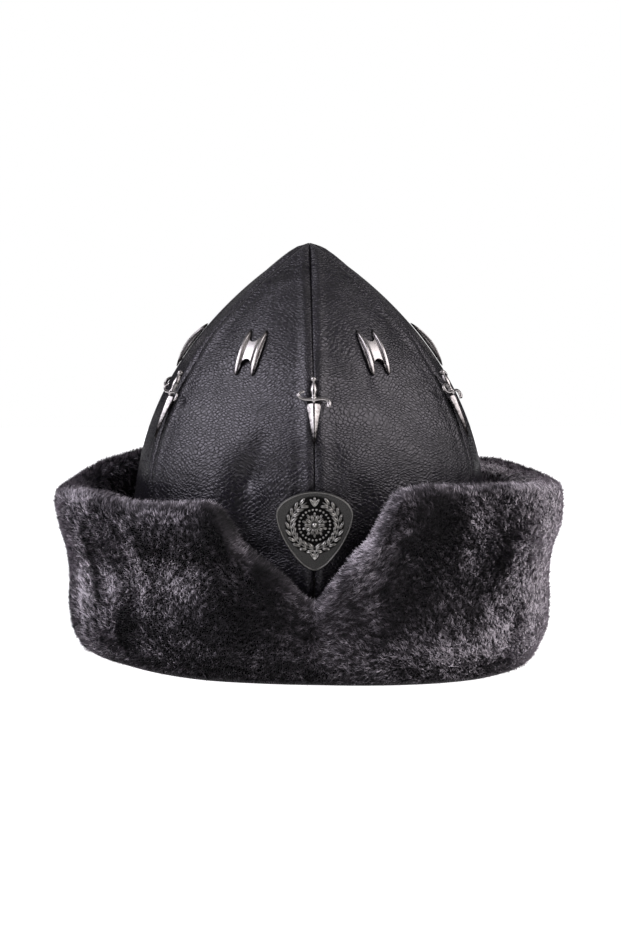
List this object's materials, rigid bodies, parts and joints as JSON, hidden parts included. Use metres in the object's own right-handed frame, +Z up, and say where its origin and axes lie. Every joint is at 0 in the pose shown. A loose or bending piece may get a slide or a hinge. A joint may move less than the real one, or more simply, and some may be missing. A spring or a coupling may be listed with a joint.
{
  "type": "bork hat",
  "caption": "Pointed black leather winter hat of joined gores with a turned-up dark fur cuff, a front notch, a relief badge and metal studs.",
  "frame": {"origin": "on the hat's axis, at the height of the surface it stands on, below the crown's tip", "axes": "+Z up through the tip, +X to the viewer's right when facing the badge, -Y towards the front"},
  "size_m": [0.275, 0.2505, 0.2183],
  "materials": {
    "leather": "pebbled satin",
    "fur": "sheared pile",
    "stud_metal": "polished dark nickel",
    "badge_metal": "antique pewter"
  },
  "bodies": {
    "root": {"crown_gore_front_left": "leather", "crown_gore_front_right": "leather", "crown_gore_side_right": "leather", "crown_gore_back_right": "leather", "crown_gore_back_left": "leather", "crown_gore_side_left": "leather", "fur_cuff": "fur", "badge": "badge_metal", "bar_stud_front_left": "stud_metal", "bar_stud_front_right": "stud_metal", "bar_stud_side_right": "stud_metal", "bar_stud_back_right": "stud_metal", "bar_stud_back_left": "stud_metal", "bar_stud_side_left": "stud_metal", "dagger_stud_front": "stud_metal", "dagger_stud_right_front": "stud_metal", "dagger_stud_right_back": "stud_metal", "dagger_stud_back": "stud_metal", "dagger_stud_left_back": "stud_metal", "dagger_stud_left_front": "stud_metal"}
  },
  "joints": []
}
